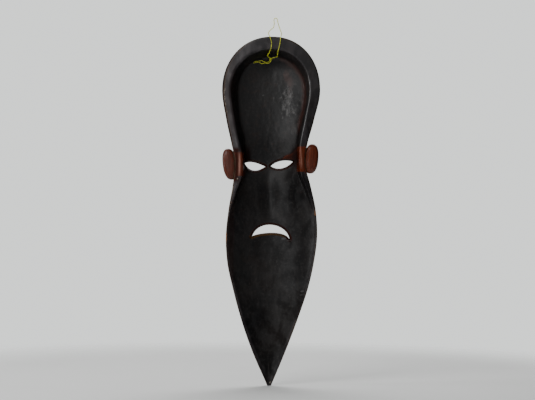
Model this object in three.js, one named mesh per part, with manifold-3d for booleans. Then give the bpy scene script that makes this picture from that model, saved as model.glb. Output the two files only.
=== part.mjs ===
// Tall carved wooden wall mask with a hollow back, two slit eyes, a down-turned mouth and ears,
// hung by a thin yellow string that runs through a drilled tunnel in its top edge.
//
// Millimetres, +Z up. The origin is the point of the nail that the string loop hangs on, in the
// plane of the mask's flat back rim. The hollow back faces +Y and the carved face faces -Y.
// +X is the left side of the mask as it is seen from behind.
//
// The wood is described in its own frame: x from its middle line, y from the back plane, and
// "down" measured from its highest point, so z = -down.
import * as THREE from 'three';
import { mergeVertices } from 'three/addons/utils/BufferGeometryUtils.js';
import Module from 'manifold-3d';

const wasm = await Module();
wasm.setup();

// Where the wood hangs under the nail.
const WOOD_TOP_UNDER_NAIL = 53.7;
const MIDDLE_LINE_X = 9;

// The dome above this line: squared circles as [half width, power of each side], for the
// outline, the inner edge and the foot of the wall.
const DOME_CENTRE_DOWN = 161;
const DOME_OUTLINE = { left: [149.5, 2.07], right: [145, 2.12], rise: 161 };
const DOME_INNER_EDGE = { left: [122.7, 2.05], right: [113.4, 2.05], rise: 122.6 };
const DOME_FOOT = { left: [104, 2.05], right: [99, 2.05], rise: 103.5 };
const DOME_RIDGE_RISE = 42;

// Half widths under the dome: [down, left, right].
const OUTLINE = [
  [161, 149.5, 145], [251, 136, 127], [323, 119.8, 108], [380, 109, 102], [449, 115.2, 119.5],
  [521, 126.8, 135.3], [602, 134, 140], [683, 128.5, 130], [755, 112, 114], [827, 92.5, 91],
  [899, 69, 65.3], [971, 40.3, 37.4], [1025, 15.5, 15.2],
];
// The inner edge of the rim and the foot of the hollow's wall, down to where the wall dies out.
const INNER_EDGE = [
  [161, 122.7, 113.4], [251, 110.4, 99.6], [311, 97.8, 87.9], [365, 85.8, 83.4],
  [413, 86.4, 89.4], [461, 101.7, 108], [536, 123.7, 132.8],
];
const FOOT = [
  [161, 104, 99], [205, 102, 95.5], [251, 96.5, 87], [311, 81.5, 77], [371, 78.6, 79],
  [413, 81, 84], [461, 96, 102], [536, 118.7, 127.8],
];
const WALL_END_DOWN = 536;
// Under the end of the wall: widths of the edge strips, and the most of a row they may take.
const EDGE_STRIP = 4;
const EDGE_STRIP_SHARE = 0.12;
const EDGE_FOOT_STRIP = 9;
const EDGE_FOOT_SHARE = 0.26;

// The rounded tip.
const TIP_CENTRE_DOWN = 1041.8;
const TIP_RADIUS = 7.5;
const TIP_START_ANGLE = THREE.MathUtils.degToRad(25.3);

// Below this the cross rows fan towards the end of the middle ridge.
const FAN_START_DOWN = 880;
const FAN_END_DOWN = 1049.3;
const RIDGE_END_DOWN = 1005;

// Depths behind and in front of the back plane:
// [down, hollow at the middle, hollow at the foot, face at the middle, face at the edge, bulge].
const DEPTHS = [
  [119, 60, 45, 80, 16, 0.5], [251, 60, 44, 84, 17, 0.5], [330, 56, 40, 80, 19, 0.52],
  [385, 52, 36, 73, 20, 0.55], [449, 48, 18, 67, 16, 0.58], [536, 44, 6.5, 64, 10, 0.6],
  [602, 42, 4.5, 62, 9, 0.62], [700, 34, 4, 55, 9, 0.7], [790, 24, 3.5, 44, 8, 0.8],
  [880, 14.5, 3, 34, 8, 0.85], [940, 8.5, 2.5, 26, 7.5, 0.85], [1005, 3, 1.5, 17, 7, 0.85],
];
const FLOOR_POWER = 0.9;

// The rim's section: a flat crest, a worn outer corner and a softened inner edge. The shares are
// the most of the rim's width that a step may take, or of the hollow's depth at the foot.
const CREST_OUTER_STEP = 7;
const CREST_OUTER_SHARE = 0.4;
const OUTER_CORNER_DEPTH = 4;
const CREST_INNER_STEP = 3;
const CREST_INNER_SHARE = 0.25;
const INNER_EDGE_DEPTH = 3;
const INNER_EDGE_SHARE = 0.45;
// The point halfway down the wall: its share of the way out to the inner edge, and of the depth.
const WALL_MIDDLE = { out: 0.55, depth: 0.5 };

// The line of the nose and chin wanders a little from the middle of the outline: [down, x].
const FACE_LINE = [
  [161, 0], [260, 2], [385, 8.5], [470, 6.5], [560, 2], [700, 0], [1049, 0],
];

// The nose on the face: [down, half width, height], and the groove behind it on the back.
const NOSE = [
  [322, 9, 0], [352, 10, 9], [395, 10, 14], [450, 16, 23], [500, 26, 33], [524, 31, 38],
  [536, 30, 30], [545, 27, 4],
];
const NOSE_ROUNDING = 0.62;
// How far the sides of the nose sink into the face, so that they meet it cleanly.
const NOSE_SINK = 1;
const NOSE_RINGS = 14;
const NOSE_SEGMENTS = 8;
const NOSE_GROOVE = { from: 392, to: 548, halfWidth: 30, depth: 8, fullness: 0.6 };

// Brow ridges: an arched bar over each eye that fades out towards the temple.
const BROW = { down: 352, arch: 16, halfThickness: 13, height: 7, fadeFrom: 64, reach: 92 };
// Eye sockets: shallow hollows that the lids stand in.
const SOCKET = { x: 46, down: 388, halfWidth: 44, halfHeight: 28, depth: 5 };
// A low swelling under the lips and a soft ridge down the chin.
const MUZZLE = { down: 585, halfWidth: 84, halfHeight: 62, height: 7 };
const CHIN_RIDGE = { from: 640, to: 1000, halfWidth: 34, height: 5, fullness: 0.7 };

// Each hole is bounded by two cubic curves between its corners: [x, down] of corners and handles.
const LEFT_EYE = {
  upper: [[80.3, 379.9], [60.9, 369.9], [35.6, 382.1], [18, 389.3]],
  lower: [[80.3, 379.9], [66.2, 405.2], [44.6, 408], [18, 389.3]],
};
const RIGHT_EYE = {
  upper: [[-65.3, 373.6], [-42.7, 366.3], [-14.2, 372.1], [0.8, 387.6]],
  lower: [[-65.3, 373.6], [-48, 393.4], [-21.5, 402.1], [0.8, 387.6]],
};
const MOUTH = {
  upper: [[55.2, 601.1], [37, 547.6], [-49.7, 560.4], [-57.5, 609.1]],
  lower: [[55.2, 601.1], [45.6, 592.1], [-44.9, 578.3], [-57.5, 609.1]],
};
// Next to the wall of the hollow the widening dies out.
const FLARE_FADE = { from: 68, to: 82, least: 0.1 };
const EYE_EDGE_STEPS = 9;
const MOUTH_EDGE_STEPS = 12;
// The holes widen towards the back: [depth, widening].
const EYE_FLARE = [[34, 7], [80, 0], [130, 0]];
const MOUTH_FLARE = [[20, 7], [66, 0], [110, 0]];
// Lids and lips stand up around their holes: [distance out from the hole, height].
const LID_SECTION = [[10, -1], [7.5, 3.2], [4, 5], [0, 5]];
const LIP_SECTION = [[13, -1], [10.5, 4.5], [6, 7.5], [0, 7]];
const ROOT_DEPTH = 9;

// Ears: rounded lobes against the rim, with a hollow in their face side.
// The lean moves an ear's middle outwards with each millimetre down.
const LEFT_EAR = {
  side: 1, x: 124.5, down: 384.2, halfWidth: 21.5, halfHeight: 46.8, lean: -0.12,
};
const RIGHT_EAR = {
  side: -1, x: 120.7, down: 365.7, halfWidth: 21.4, halfHeight: 44.5, lean: -0.07,
};
const EAR_POWER = 2.4;
const EAR_SEGMENTS = 16;
// [share of the outline, depth under the back plane], from the back to the face side.
const EAR_SECTION = [
  [0, 1.2], [0.5, 1.6], [0.8, 5], [0.96, 10], [1, 16], [1, 26], [0.9, 33], [0.72, 35.5],
  [0.52, 30], [0, 28],
];

// The tunnel for the string, drilled in two slanting halves that meet in the top of the rim.
const TUNNEL_RADIUS = 4;
const TUNNEL_SIDES = 8;
const TUNNEL_STEPS = 10;
const TUNNEL = [
  [-16, -22.5, -59], [-16, -27.9, -54.3], [-10, -32.5, -46.5], [-1, -34.1, -42.9],
  [8, -32.2, -46.3], [14, -27.4, -54], [14, -22, -58.7],
];

// The string: its route in the frame of the nail, from the end of one tail to the end of the other.
const CORD_DIAMETER = 2.2;
const CORD_SIDES = 8;
const CORD_STEPS = 80;
const CORD_ROUTE = [
  // the lower tail, along the floor of the hollow to the knot
  [66.5, -37.4, -131.4], [57, -42.4, -128.2], [48.5, -45.2, -127.7], [40.5, -47.4, -131.6],
  [31, -48, -129.6], [20.6, -47.4, -130.4], [14.2, -44, -125.8], [12, -37.4, -119.8],
  // past the knot into the right hole, and through the tunnel
  [9.8, -30.6, -117.2], [4.8, -26.8, -114.8], [-1, -26, -113.9], [-5.2, -27, -112.3],
  [-7, -29.1, -108.7], [-4.4, -32.4, -101.8], [8, -34.9, -95.4], [20.4, -30.2, -100.8],
  [23, -26.2, -107],
  // out of the left hole and up over the rim to the nail
  [23.2, -22.7, -109.8], [22.2, -18, -109.2], [18.6, -9.6, -102.6], [15, -1.4, -95.4],
  [12.6, 2.4, -89], [11.8, 1.7, -72], [16.6, 1.7, -54.5], [21.2, 1.7, -45], [17, 1.7, -36.5],
  [7, 1.7, -27.5], [3.9, 1.7, -17], [4.8, 1.7, -4.1],
  [3.3, 1.7, -0.5], [-0.2, 1.7, 1.1], [-3.7, 1.7, -0.5],
  // down the other side of the loop, over the rim and into the right hole again
  [-5.2, 1.7, -4.1], [-8.6, 1.7, -18], [-14.4, 1.7, -34.5], [-18.2, 1.7, -46],
  [-15.6, 1.7, -57], [-14.6, 1.7, -70], [-11, 2.6, -89], [-8.8, -1.2, -95.6],
  [-7.6, -9.8, -102.8], [-6.9, -18.5, -109.6], [-6.9, -23.2, -110.1], [-7, -26.7, -107.3],
  [-4, -29.5, -102.6], [8, -33.3, -98], [20, -31.1, -103.6], [22.9, -28.7, -108.4],
  // out of the left hole, past the knot and along the upper tail
  [21.4, -26.7, -112.1], [17.8, -27.2, -114.4], [15.4, -31.2, -116.6], [15, -37, -119.2],
  [17.4, -43, -124.2], [23.2, -46, -127.3], [32.5, -46.2, -126.7], [40.5, -44.3, -122.7],
  [49, -43.2, -124.6], [57.5, -40.2, -125.4], [64.5, -37, -128.2],
];

// Cross rows of the wood: how many in the dome, between the stations below it, and at the tip.
const DOME_ROWS = 12;
const BODY_SPANS = [
  [161, 330, 8], [330, 420, 9], [420, 500, 5], [500, 620, 9], [620, 1025, 16],
];
const TIP_ROWS = 4;
// Where the lengthwise lines run: shares from the middle ridge to the foot, and to the outline.
const FLOOR_LINES = [0, 0.15, 0.3, 0.45, 0.65, 0.85, 1];
const FACE_LINES = [1, 0.97, 0.89, 0.78, 0.65, 0.5, 0.36, 0.24, 0.12, 0];

const WELD = 1e-4;

// A smooth curve through stations [position, value, ...], read in one column; flat at its start.
function through(stations, column) {
  const slope = (i) => {
    if (i === 0) return 0;
    const before = stations[i - 1];
    const after = stations[Math.min(i + 1, stations.length - 1)];
    return (after[column] - before[column]) / (after[0] - before[0]);
  };
  return (position) => {
    const last = stations.length - 1;
    if (position <= stations[0][0]) return stations[0][column];
    if (position >= stations[last][0]) return stations[last][column];
    const i = stations.findIndex((station) => station[0] > position) - 1;
    const span = stations[i + 1][0] - stations[i][0];
    const t = (position - stations[i][0]) / span;
    const t2 = t * t;
    const t3 = t2 * t;
    return (2 * t3 - 3 * t2 + 1) * stations[i][column] + (t3 - 2 * t2 + t) * span * slope(i)
      + (3 * t2 - 2 * t3) * stations[i + 1][column] + (t3 - t2) * span * slope(i + 1);
  };
}

const bySide = (stations) => {
  const left = through(stations, 1);
  const right = through(stations, 2);
  return (down, side) => (side > 0 ? left(down) : right(down));
};
const outlineHalf = bySide(OUTLINE);
const innerHalf = bySide(INNER_EDGE);
const footHalf = bySide(FOOT);
const floorDepth = through(DEPTHS, 1);
const footDepth = through(DEPTHS, 2);
const faceDepth = through(DEPTHS, 3);
const edgeDepth = through(DEPTHS, 4);
const bulge = through(DEPTHS, 5);
const faceLine = through(FACE_LINE, 1);
const noseHalf = through(NOSE, 1);
const noseHeight = through(NOSE, 2);

// A bump of height 1 that falls smoothly to 0 at one unit away.
const bump = (away) => (away >= 1 ? 0 : (1 - away * away) ** 2);

// Points are kept as [x, down] until they are placed in space.
const between = (a, b, share) => [a[0] + (b[0] - a[0]) * share, a[1] + (b[1] - a[1]) * share];
const distance = (a, b) => Math.hypot(a[0] - b[0], a[1] - b[1]);
const place = ([x, down], depth) => new THREE.Vector3(x, -depth, -down);

// One side of a cross row holds its points on the outline, inner edge, foot and middle ridge.
function domeSide(angle, side) {
  const arc = ({ left, right, rise }) => {
    const [half, power] = side > 0 ? left : right;
    const out = Math.cos(angle) ** (2 / power);
    const up = Math.sin(angle) ** (2 / power);
    return [side * half * out, DOME_CENTRE_DOWN - rise * up];
  };
  const ridgeDown = DOME_CENTRE_DOWN - DOME_RIDGE_RISE * Math.sin(angle);
  return {
    outline: arc(DOME_OUTLINE),
    inner: arc(DOME_INNER_EDGE),
    foot: arc(DOME_FOOT),
    ridge: [faceLine(ridgeDown), ridgeDown],
  };
}

function ridgeUnder(down) {
  if (down <= FAN_START_DOWN) return [faceLine(down), down];
  const share = (down - FAN_START_DOWN) / (FAN_END_DOWN - FAN_START_DOWN);
  const ridgeDown = FAN_START_DOWN + share * (RIDGE_END_DOWN - FAN_START_DOWN);
  return [faceLine(ridgeDown), ridgeDown];
}

function bodySide(down, side) {
  const outline = [side * outlineHalf(down, side), down];
  const ridge = ridgeUnder(down);
  if (down < WALL_END_DOWN) {
    const inner = [side * innerHalf(down, side), down];
    const foot = [side * footHalf(down, side), down];
    return { outline, inner, foot, ridge };
  }
  return { outline, ...edgeStrips(outline, ridge), ridge };
}

function tipSide(angle, side) {
  const outline = [
    side * TIP_RADIUS * Math.cos(angle),
    TIP_CENTRE_DOWN + TIP_RADIUS * Math.sin(angle),
  ];
  const ridge = ridgeUnder(outline[1]);
  return { outline, ...edgeStrips(outline, ridge), ridge };
}

function edgeStrips(outline, ridge) {
  const length = distance(outline, ridge);
  return {
    inner: between(outline, ridge, Math.min(EDGE_STRIP / length, EDGE_STRIP_SHARE)),
    foot: between(outline, ridge, Math.min(EDGE_FOOT_STRIP / length, EDGE_FOOT_SHARE)),
  };
}

// Every cross row as a function of its side, from the top of the dome to the tip.
function crossRows() {
  const rows = [];
  for (let i = 0; i < DOME_ROWS; i += 1) {
    const angle = (Math.PI / 2) * (1 - i / DOME_ROWS);
    rows.push((side) => domeSide(angle, side));
  }
  for (const [from, to, count] of BODY_SPANS) {
    for (let i = 0; i < count; i += 1) {
      const down = from + ((to - from) * i) / count;
      rows.push((side) => bodySide(down, side));
    }
  }
  for (let i = 0; i <= TIP_ROWS; i += 1) {
    const angle = TIP_START_ANGLE + ((Math.PI / 2 - TIP_START_ANGLE) * i) / TIP_ROWS;
    rows.push((side) => tipSide(angle, side));
  }
  return rows;
}

// The face without its nose: the bulging shield with brows, sockets, muzzle and chin ridge.
function faceRelief([x, down]) {
  const off = Math.abs(x - faceLine(down));
  const browDown = BROW.down - BROW.arch * Math.sin(Math.PI * Math.min(off / BROW.reach, 1));
  const browFade = 1 - THREE.MathUtils.smoothstep(off, BROW.fadeFrom, BROW.reach);
  const brow = BROW.height * browFade * bump(Math.abs(down - browDown) / BROW.halfThickness);
  const socket = SOCKET.depth * bump(Math.hypot(
    (off - SOCKET.x) / SOCKET.halfWidth, (down - SOCKET.down) / SOCKET.halfHeight));
  const muzzle = MUZZLE.height * bump(Math.hypot(
    off / MUZZLE.halfWidth, (down - MUZZLE.down) / MUZZLE.halfHeight));
  const along = THREE.MathUtils.clamp(
    (down - CHIN_RIDGE.from) / (CHIN_RIDGE.to - CHIN_RIDGE.from), 0, 1);
  const chin = CHIN_RIDGE.height * Math.sin(Math.PI * along) ** CHIN_RIDGE.fullness
    * bump(off / CHIN_RIDGE.halfWidth);
  return brow - socket + muzzle + chin;
}

function noseGroove([x, down]) {
  const { from, to, halfWidth, depth, fullness } = NOSE_GROOVE;
  const along = (down - from) / (to - from);
  if (along <= 0 || along >= 1) return 0;
  const off = Math.abs(x - faceLine(down)) / halfWidth;
  return depth * Math.sin(Math.PI * along) ** fullness * Math.max(0, 1 - off);
}

// Depth of the face at a share of the way from the middle ridge out to the outline.
function shieldDepth(outline, ridge, share) {
  const edge = edgeDepth(outline[1]);
  const rise = faceDepth(ridge[1]) - edge;
  return edge + rise * (1 - share * share) ** bulge(outline[1]);
}

// Depth of the face at any point between the brow and the chin, without its nose.
function faceDepthAt(point) {
  const ridge = [faceLine(point[1]), point[1]];
  const side = Math.sign(point[0] - ridge[0]) || 1;
  const outline = [side * outlineHalf(point[1], side), point[1]];
  const share = Math.min(distance(point, ridge) / distance(outline, ridge), 1);
  return shieldDepth(outline, ridge, share) + faceRelief(point);
}

// The lengthwise lines, from the middle of the hollow over the rim to the middle of the face.
function lengthwiseLines() {
  const lines = FLOOR_LINES.map((share) => ({ foot, ridge }) => {
    const point = between(ridge, foot, share);
    const atFoot = footDepth(foot[1]);
    const rise = (floorDepth(ridge[1]) - atFoot) * (1 - share * share) ** FLOOR_POWER;
    return place(point, atFoot + rise + noseGroove(point));
  });
  lines.push(({ inner, foot }) => {
    return place(between(foot, inner, WALL_MIDDLE.out), WALL_MIDDLE.depth * footDepth(foot[1]));
  });
  lines.push(({ inner, foot }) => {
    return place(inner, Math.min(INNER_EDGE_DEPTH, INNER_EDGE_SHARE * footDepth(foot[1])));
  });
  lines.push(({ outline, inner }) => {
    const step = Math.min(CREST_INNER_STEP / distance(outline, inner), CREST_INNER_SHARE);
    return place(between(inner, outline, step), 0);
  });
  lines.push(({ outline, inner }) => {
    const step = Math.min(CREST_OUTER_STEP / distance(outline, inner), CREST_OUTER_SHARE);
    return place(between(outline, inner, step), 0);
  });
  lines.push(({ outline, inner }) => {
    const step = Math.min(CREST_OUTER_STEP, CREST_OUTER_SHARE * distance(outline, inner));
    return place(outline, (OUTER_CORNER_DEPTH * step) / CREST_OUTER_STEP);
  });
  for (const share of FACE_LINES) {
    lines.push(({ outline, ridge }) => {
      const point = between(ridge, outline, share);
      const relief = share < 1 ? faceRelief(point) : 0;
      return place(point, shieldDepth(outline, ridge, share) + relief);
    });
  }
  return lines;
}

// A closed body from a run of rings with the same number of points. The first and last ring
// close on themselves: they hold either one repeated point or a line that is passed twice.
function ringGeometry(rings) {
  const count = rings[0].length;
  const positions = rings.flat().flatMap((point) => point.toArray());
  const index = [];
  for (let ring = 0; ring < rings.length - 1; ring += 1) {
    for (let i = 0; i < count; i += 1) {
      const a = ring * count + i;
      const b = ring * count + ((i + 1) % count);
      index.push(a, b, b + count, a, b + count, a + count);
    }
  }
  const geometry = new THREE.BufferGeometry();
  geometry.setAttribute('position', new THREE.Float32BufferAttribute(positions, 3));
  geometry.setIndex(index);
  return geometry;
}

// A ring of one repeated point in the middle of another ring, which closes an open end.
function capRing(ring) {
  const middle = new THREE.Vector3();
  ring.forEach((point) => middle.addScaledVector(point, 1 / ring.length));
  return ring.map(() => middle);
}

// Welds the shared vertices, drops collapsed triangles and turns the faces outwards.
function closedMesh(geometry) {
  geometry.deleteAttribute('normal');
  geometry.deleteAttribute('uv');
  const welded = mergeVertices(geometry, WELD);
  const old = welded.index.array;
  const kept = [];
  for (let i = 0; i < old.length; i += 3) {
    const [a, b, c] = [old[i], old[i + 1], old[i + 2]];
    if (a !== b && b !== c && c !== a) kept.push([a, b, c]);
  }
  const at = (i) => new THREE.Vector3().fromBufferAttribute(welded.attributes.position, i);
  const volume = kept.reduce((sum, [a, b, c]) => sum + at(a).dot(at(b).cross(at(c))), 0);
  if (volume < 0) kept.forEach((triangle) => triangle.reverse());
  return { positions: welded.attributes.position.array, triangles: kept.flat() };
}

function solid(geometry) {
  const { positions, triangles } = closedMesh(geometry);
  return new wasm.Manifold(new wasm.Mesh({
    numProp: 3,
    vertProperties: new Float32Array(positions),
    triVerts: new Uint32Array(triangles),
  }));
}

function geometryOf(body) {
  const mesh = body.getMesh();
  const geometry = new THREE.BufferGeometry();
  geometry.setAttribute('position', new THREE.Float32BufferAttribute(mesh.vertProperties, 3));
  geometry.setIndex(Array.from(mesh.triVerts));
  return geometry;
}

// The wood before its ears, lids, lips and holes.
function shieldBody() {
  const rows = crossRows();
  const leftSides = rows.map((row) => row(1));
  const rightSides = rows.slice(1, -1).map((row) => row(-1)).reverse();
  const stations = [...leftSides, ...rightSides];
  return solid(ringGeometry(lengthwiseLines().map((line) => stations.map(line))));
}

// The edge of a hole as a closed run of [x, down] points.
function holeEdge({ upper, lower }, steps) {
  const curve = (points) => new THREE.CubicBezierCurve(
    ...points.map(([x, down]) => new THREE.Vector2(x, down)));
  const there = curve(upper).getPoints(steps);
  const back = curve(lower).getPoints(steps).reverse().slice(1, -1);
  return [...there, ...back].map((point) => [point.x, point.y]);
}

function direction(a, b) {
  const length = distance(a, b);
  return [(b[0] - a[0]) / length, (b[1] - a[1]) / length];
}

// Moves every point of a closed run outwards, square to the run.
function widened(points, step) {
  const area = points.reduce((sum, a, i) => {
    const b = points[(i + 1) % points.length];
    return sum + a[0] * b[1] - b[0] * a[1];
  }, 0);
  const turn = Math.sign(area);
  return points.map((point, i) => {
    const before = direction(points[(i + points.length - 1) % points.length], point);
    const after = direction(point, points[(i + 1) % points.length]);
    const along = direction([0, 0], [before[0] + after[0], before[1] + after[1]]);
    return [point[0] + turn * along[1] * step, point[1] - turn * along[0] * step];
  });
}

// The line halfway between the two curves of a hole; the run passes it there and back.
const midline = (edge) => edge.map((point, i) => (
  between(point, edge[(edge.length - i) % edge.length], 0.5)));

function holeCutter(edge, flare) {
  const room = ([x]) => {
    const left = (FLARE_FADE.to - Math.abs(x)) / (FLARE_FADE.to - FLARE_FADE.from);
    return THREE.MathUtils.clamp(left, FLARE_FADE.least, 1);
  };
  const rings = flare.map(([depth, widening]) => widened(edge, widening).map((wide, i) => {
    const share = room(edge[i]);
    const point = [
      edge[i][0] + share * (wide[0] - edge[i][0]),
      edge[i][1] + share * (wide[1] - edge[i][1]),
    ];
    return place(point, depth);
  }));
  return solid(ringGeometry([capRing(rings[0]), ...rings, capRing(rings[rings.length - 1])]));
}

// A lid or lip: a raised border around a hole, rooted in the wood behind the face.
function raisedBorder(edge, section) {
  const middle = midline(edge);
  const outer = widened(edge, section[0][0]);
  const onFace = (points, height) => points.map((point) => (
    place(point, faceDepthAt(point) + height)));
  return solid(ringGeometry([
    onFace(middle, -ROOT_DEPTH),
    onFace(outer, -ROOT_DEPTH),
    ...section.map(([step, height]) => onFace(widened(edge, step), height)),
    onFace(middle, section[section.length - 1][1]),
  ]));
}

// The nose as cross sections from the brow to its underside, rooted in the wood.
function nose() {
  const from = NOSE[0][0];
  const to = NOSE[NOSE.length - 1][0];
  const section = (down) => {
    const on = (off, height) => {
      const point = [faceLine(down) + off * noseHalf(down), down];
      return place(point, faceDepthAt(point) + height);
    };
    const ring = [on(1, -ROOT_DEPTH)];
    for (let i = 0; i <= NOSE_SEGMENTS; i += 1) {
      const angle = (Math.PI * i) / NOSE_SEGMENTS;
      const rise = noseHeight(down) * Math.sin(angle) ** (2 * NOSE_ROUNDING);
      ring.push(on(Math.cos(angle), rise - NOSE_SINK));
    }
    ring.push(on(-1, -ROOT_DEPTH));
    return ring;
  };
  const rings = [];
  for (let i = 0; i < NOSE_RINGS; i += 1) {
    rings.push(section(from + ((to - from) * i) / (NOSE_RINGS - 1)));
  }
  return solid(ringGeometry([capRing(rings[0]), ...rings, capRing(rings[rings.length - 1])]));
}

function ear({ side, x, down, halfWidth, halfHeight, lean }) {
  const rings = EAR_SECTION.map(([share, depth]) => {
    const ring = [];
    for (let i = 0; i < EAR_SEGMENTS; i += 1) {
      const angle = (2 * Math.PI * i) / EAR_SEGMENTS;
      const rounded = (value) => Math.sign(value) * Math.abs(value) ** (2 / EAR_POWER);
      const drop = halfHeight * rounded(Math.sin(angle)) * share;
      const out = x + lean * drop + halfWidth * rounded(Math.cos(angle)) * share;
      ring.push(place([side * out, down + drop], depth));
    }
    return ring;
  });
  return solid(ringGeometry(rings));
}

function polygon(radius, sides) {
  const corners = [];
  for (let i = 0; i < sides; i += 1) {
    const angle = (2 * Math.PI * i) / sides;
    corners.push(new THREE.Vector2(radius * Math.cos(angle), radius * Math.sin(angle)));
  }
  return new THREE.Shape(corners);
}

const curveThrough = (points) => new THREE.CatmullRomCurve3(
  points.map(([x, y, z]) => new THREE.Vector3(x, y, z)), false, 'centripetal');

function tube(points, radius, sides, steps) {
  return new THREE.ExtrudeGeometry(polygon(radius, sides), {
    steps, bevelEnabled: false, extrudePath: curveThrough(points),
  });
}

function carvedMask() {
  const leftEye = holeEdge(LEFT_EYE, EYE_EDGE_STEPS);
  const rightEye = holeEdge(RIGHT_EYE, EYE_EDGE_STEPS);
  const mouth = holeEdge(MOUTH, MOUTH_EDGE_STEPS);
  const added = [
    ear(LEFT_EAR),
    ear(RIGHT_EAR),
    nose(),
    raisedBorder(leftEye, LID_SECTION),
    raisedBorder(rightEye, LID_SECTION),
    raisedBorder(mouth, LIP_SECTION),
  ];
  const removed = [
    holeCutter(leftEye, EYE_FLARE),
    holeCutter(rightEye, EYE_FLARE),
    holeCutter(mouth, MOUTH_FLARE),
    solid(tube(TUNNEL, TUNNEL_RADIUS, TUNNEL_SIDES, TUNNEL_STEPS)),
  ];
  const joined = added.reduce((body, piece) => body.add(piece), shieldBody());
  return geometryOf(removed.reduce((body, piece) => body.subtract(piece), joined));
}

// Materials: black-stained carved wood and yellow twisted string.
const blackStainedWood = new THREE.MeshStandardMaterial({
  color: 0x1d1a18, roughness: 0.42, metalness: 0,
});
const yellowString = new THREE.MeshStandardMaterial({
  color: 0xb9b33c, roughness: 0.6, metalness: 0,
});

const mask = new THREE.Mesh(carvedMask(), blackStainedWood);
mask.name = 'mask';
mask.position.set(MIDDLE_LINE_X, 0, -WOOD_TOP_UNDER_NAIL);

const cord = new THREE.Mesh(
  tube(CORD_ROUTE, CORD_DIAMETER / 2, CORD_SIDES, CORD_STEPS), yellowString);
cord.name = 'hanging_cord';

const wallMask = new THREE.Group();
wallMask.add(mask, cord);

export default wallMask;
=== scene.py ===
import math

import bpy
import bmesh
import numpy as np
from mathutils import Matrix, Vector


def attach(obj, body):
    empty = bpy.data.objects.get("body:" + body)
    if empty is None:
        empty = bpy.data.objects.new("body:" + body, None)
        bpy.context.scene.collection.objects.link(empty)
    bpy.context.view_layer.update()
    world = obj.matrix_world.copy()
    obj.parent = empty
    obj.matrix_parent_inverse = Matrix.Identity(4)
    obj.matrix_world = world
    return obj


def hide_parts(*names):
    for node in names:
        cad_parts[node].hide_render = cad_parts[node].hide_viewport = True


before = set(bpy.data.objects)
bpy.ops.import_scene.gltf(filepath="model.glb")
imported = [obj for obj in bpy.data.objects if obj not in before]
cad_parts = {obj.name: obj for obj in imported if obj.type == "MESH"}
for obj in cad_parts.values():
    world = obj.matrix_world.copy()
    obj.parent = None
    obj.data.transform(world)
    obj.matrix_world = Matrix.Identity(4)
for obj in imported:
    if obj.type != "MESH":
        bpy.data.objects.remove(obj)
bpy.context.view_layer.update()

MM = 0.001
# where the frame of the wood lies in the row frame, whose origin is the nail
WOOD_TOP_UNDER_NAIL = 53.7
MIDDLE_LINE_X = 9.0


def new_object(name, data):
    made = bpy.data.objects.new(name, data)
    bpy.context.scene.collection.objects.link(made)
    return made


def mesh_object(name, points, faces):
    """A mesh from points in metres, in the row frame."""
    data = bpy.data.meshes.new(name)
    data.from_pydata([tuple(p) for p in np.asarray(points).tolist()], [], faces)
    data.update()
    return new_object(name, data)


def columns(*values):
    return np.stack(values, axis=1)


def lengths(vectors):
    return np.linalg.norm(vectors, axis=1)


def hermite(t, start, leaving, end, arriving):
    """The cubic from start to end with the given slopes, at t from 0 to 1."""
    t2, t3 = t * t, t * t * t
    return ((2 * t3 - 3 * t2 + 1) * start + (t3 - 2 * t2 + t) * leaving
            + (3 * t2 - 2 * t3) * end + (t3 - t2) * arriving)


def tube_faces(rings, count, closed_ends=True):
    """Quads between rings of count points, and triangles to the two end points after them."""
    pairs = [(j, (j + 1) % count) for j in range(count)]
    faces = []
    for first in range(0, (rings - 1) * count, count):
        after = first + count
        faces += [(first + j, first + k, after + k, after + j) for j, k in pairs]
    if closed_ends:
        last, end = (rings - 1) * count, rings * count
        for j, k in pairs:
            faces += [(k, j, end), (last + j, last + k, end + 1)]
    return faces


def spokes_along(line, aside, angles):
    """Unit spokes square to the line at each of its points, carried along without twist."""
    tangents = np.gradient(line, axis=0)
    tangents /= lengths(tangents)[:, None]
    normal = np.cross(tangents[0], aside)
    for tangent in tangents:
        normal = normal - tangent * np.dot(normal, tangent)
        normal /= np.linalg.norm(normal)
        other = np.cross(tangent, normal)
        yield np.cos(angles)[:, None] * normal + np.sin(angles)[:, None] * other


# Camera: level, looking at the hollow back, rolled a little as the mask leans in its picture.
CAMERA_PLACE = (0.019, 5.0, -0.5445)
CAMERA_ROLL = 0.00974
camera_data = bpy.data.cameras.new("camera")
camera_data.lens = 112.15
camera_data.sensor_width = 36
camera = new_object("camera", camera_data)
cosine, sine = math.cos(CAMERA_ROLL), math.sin(CAMERA_ROLL)
right_up_back = Matrix(((-cosine, 0, sine), (sine, 0, cosine), (0, 1, 0)))
place_camera = right_up_back.transposed().to_4x4()
place_camera.translation = Vector(CAMERA_PLACE)
camera.matrix_world = place_camera
bpy.context.scene.camera = camera

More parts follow.
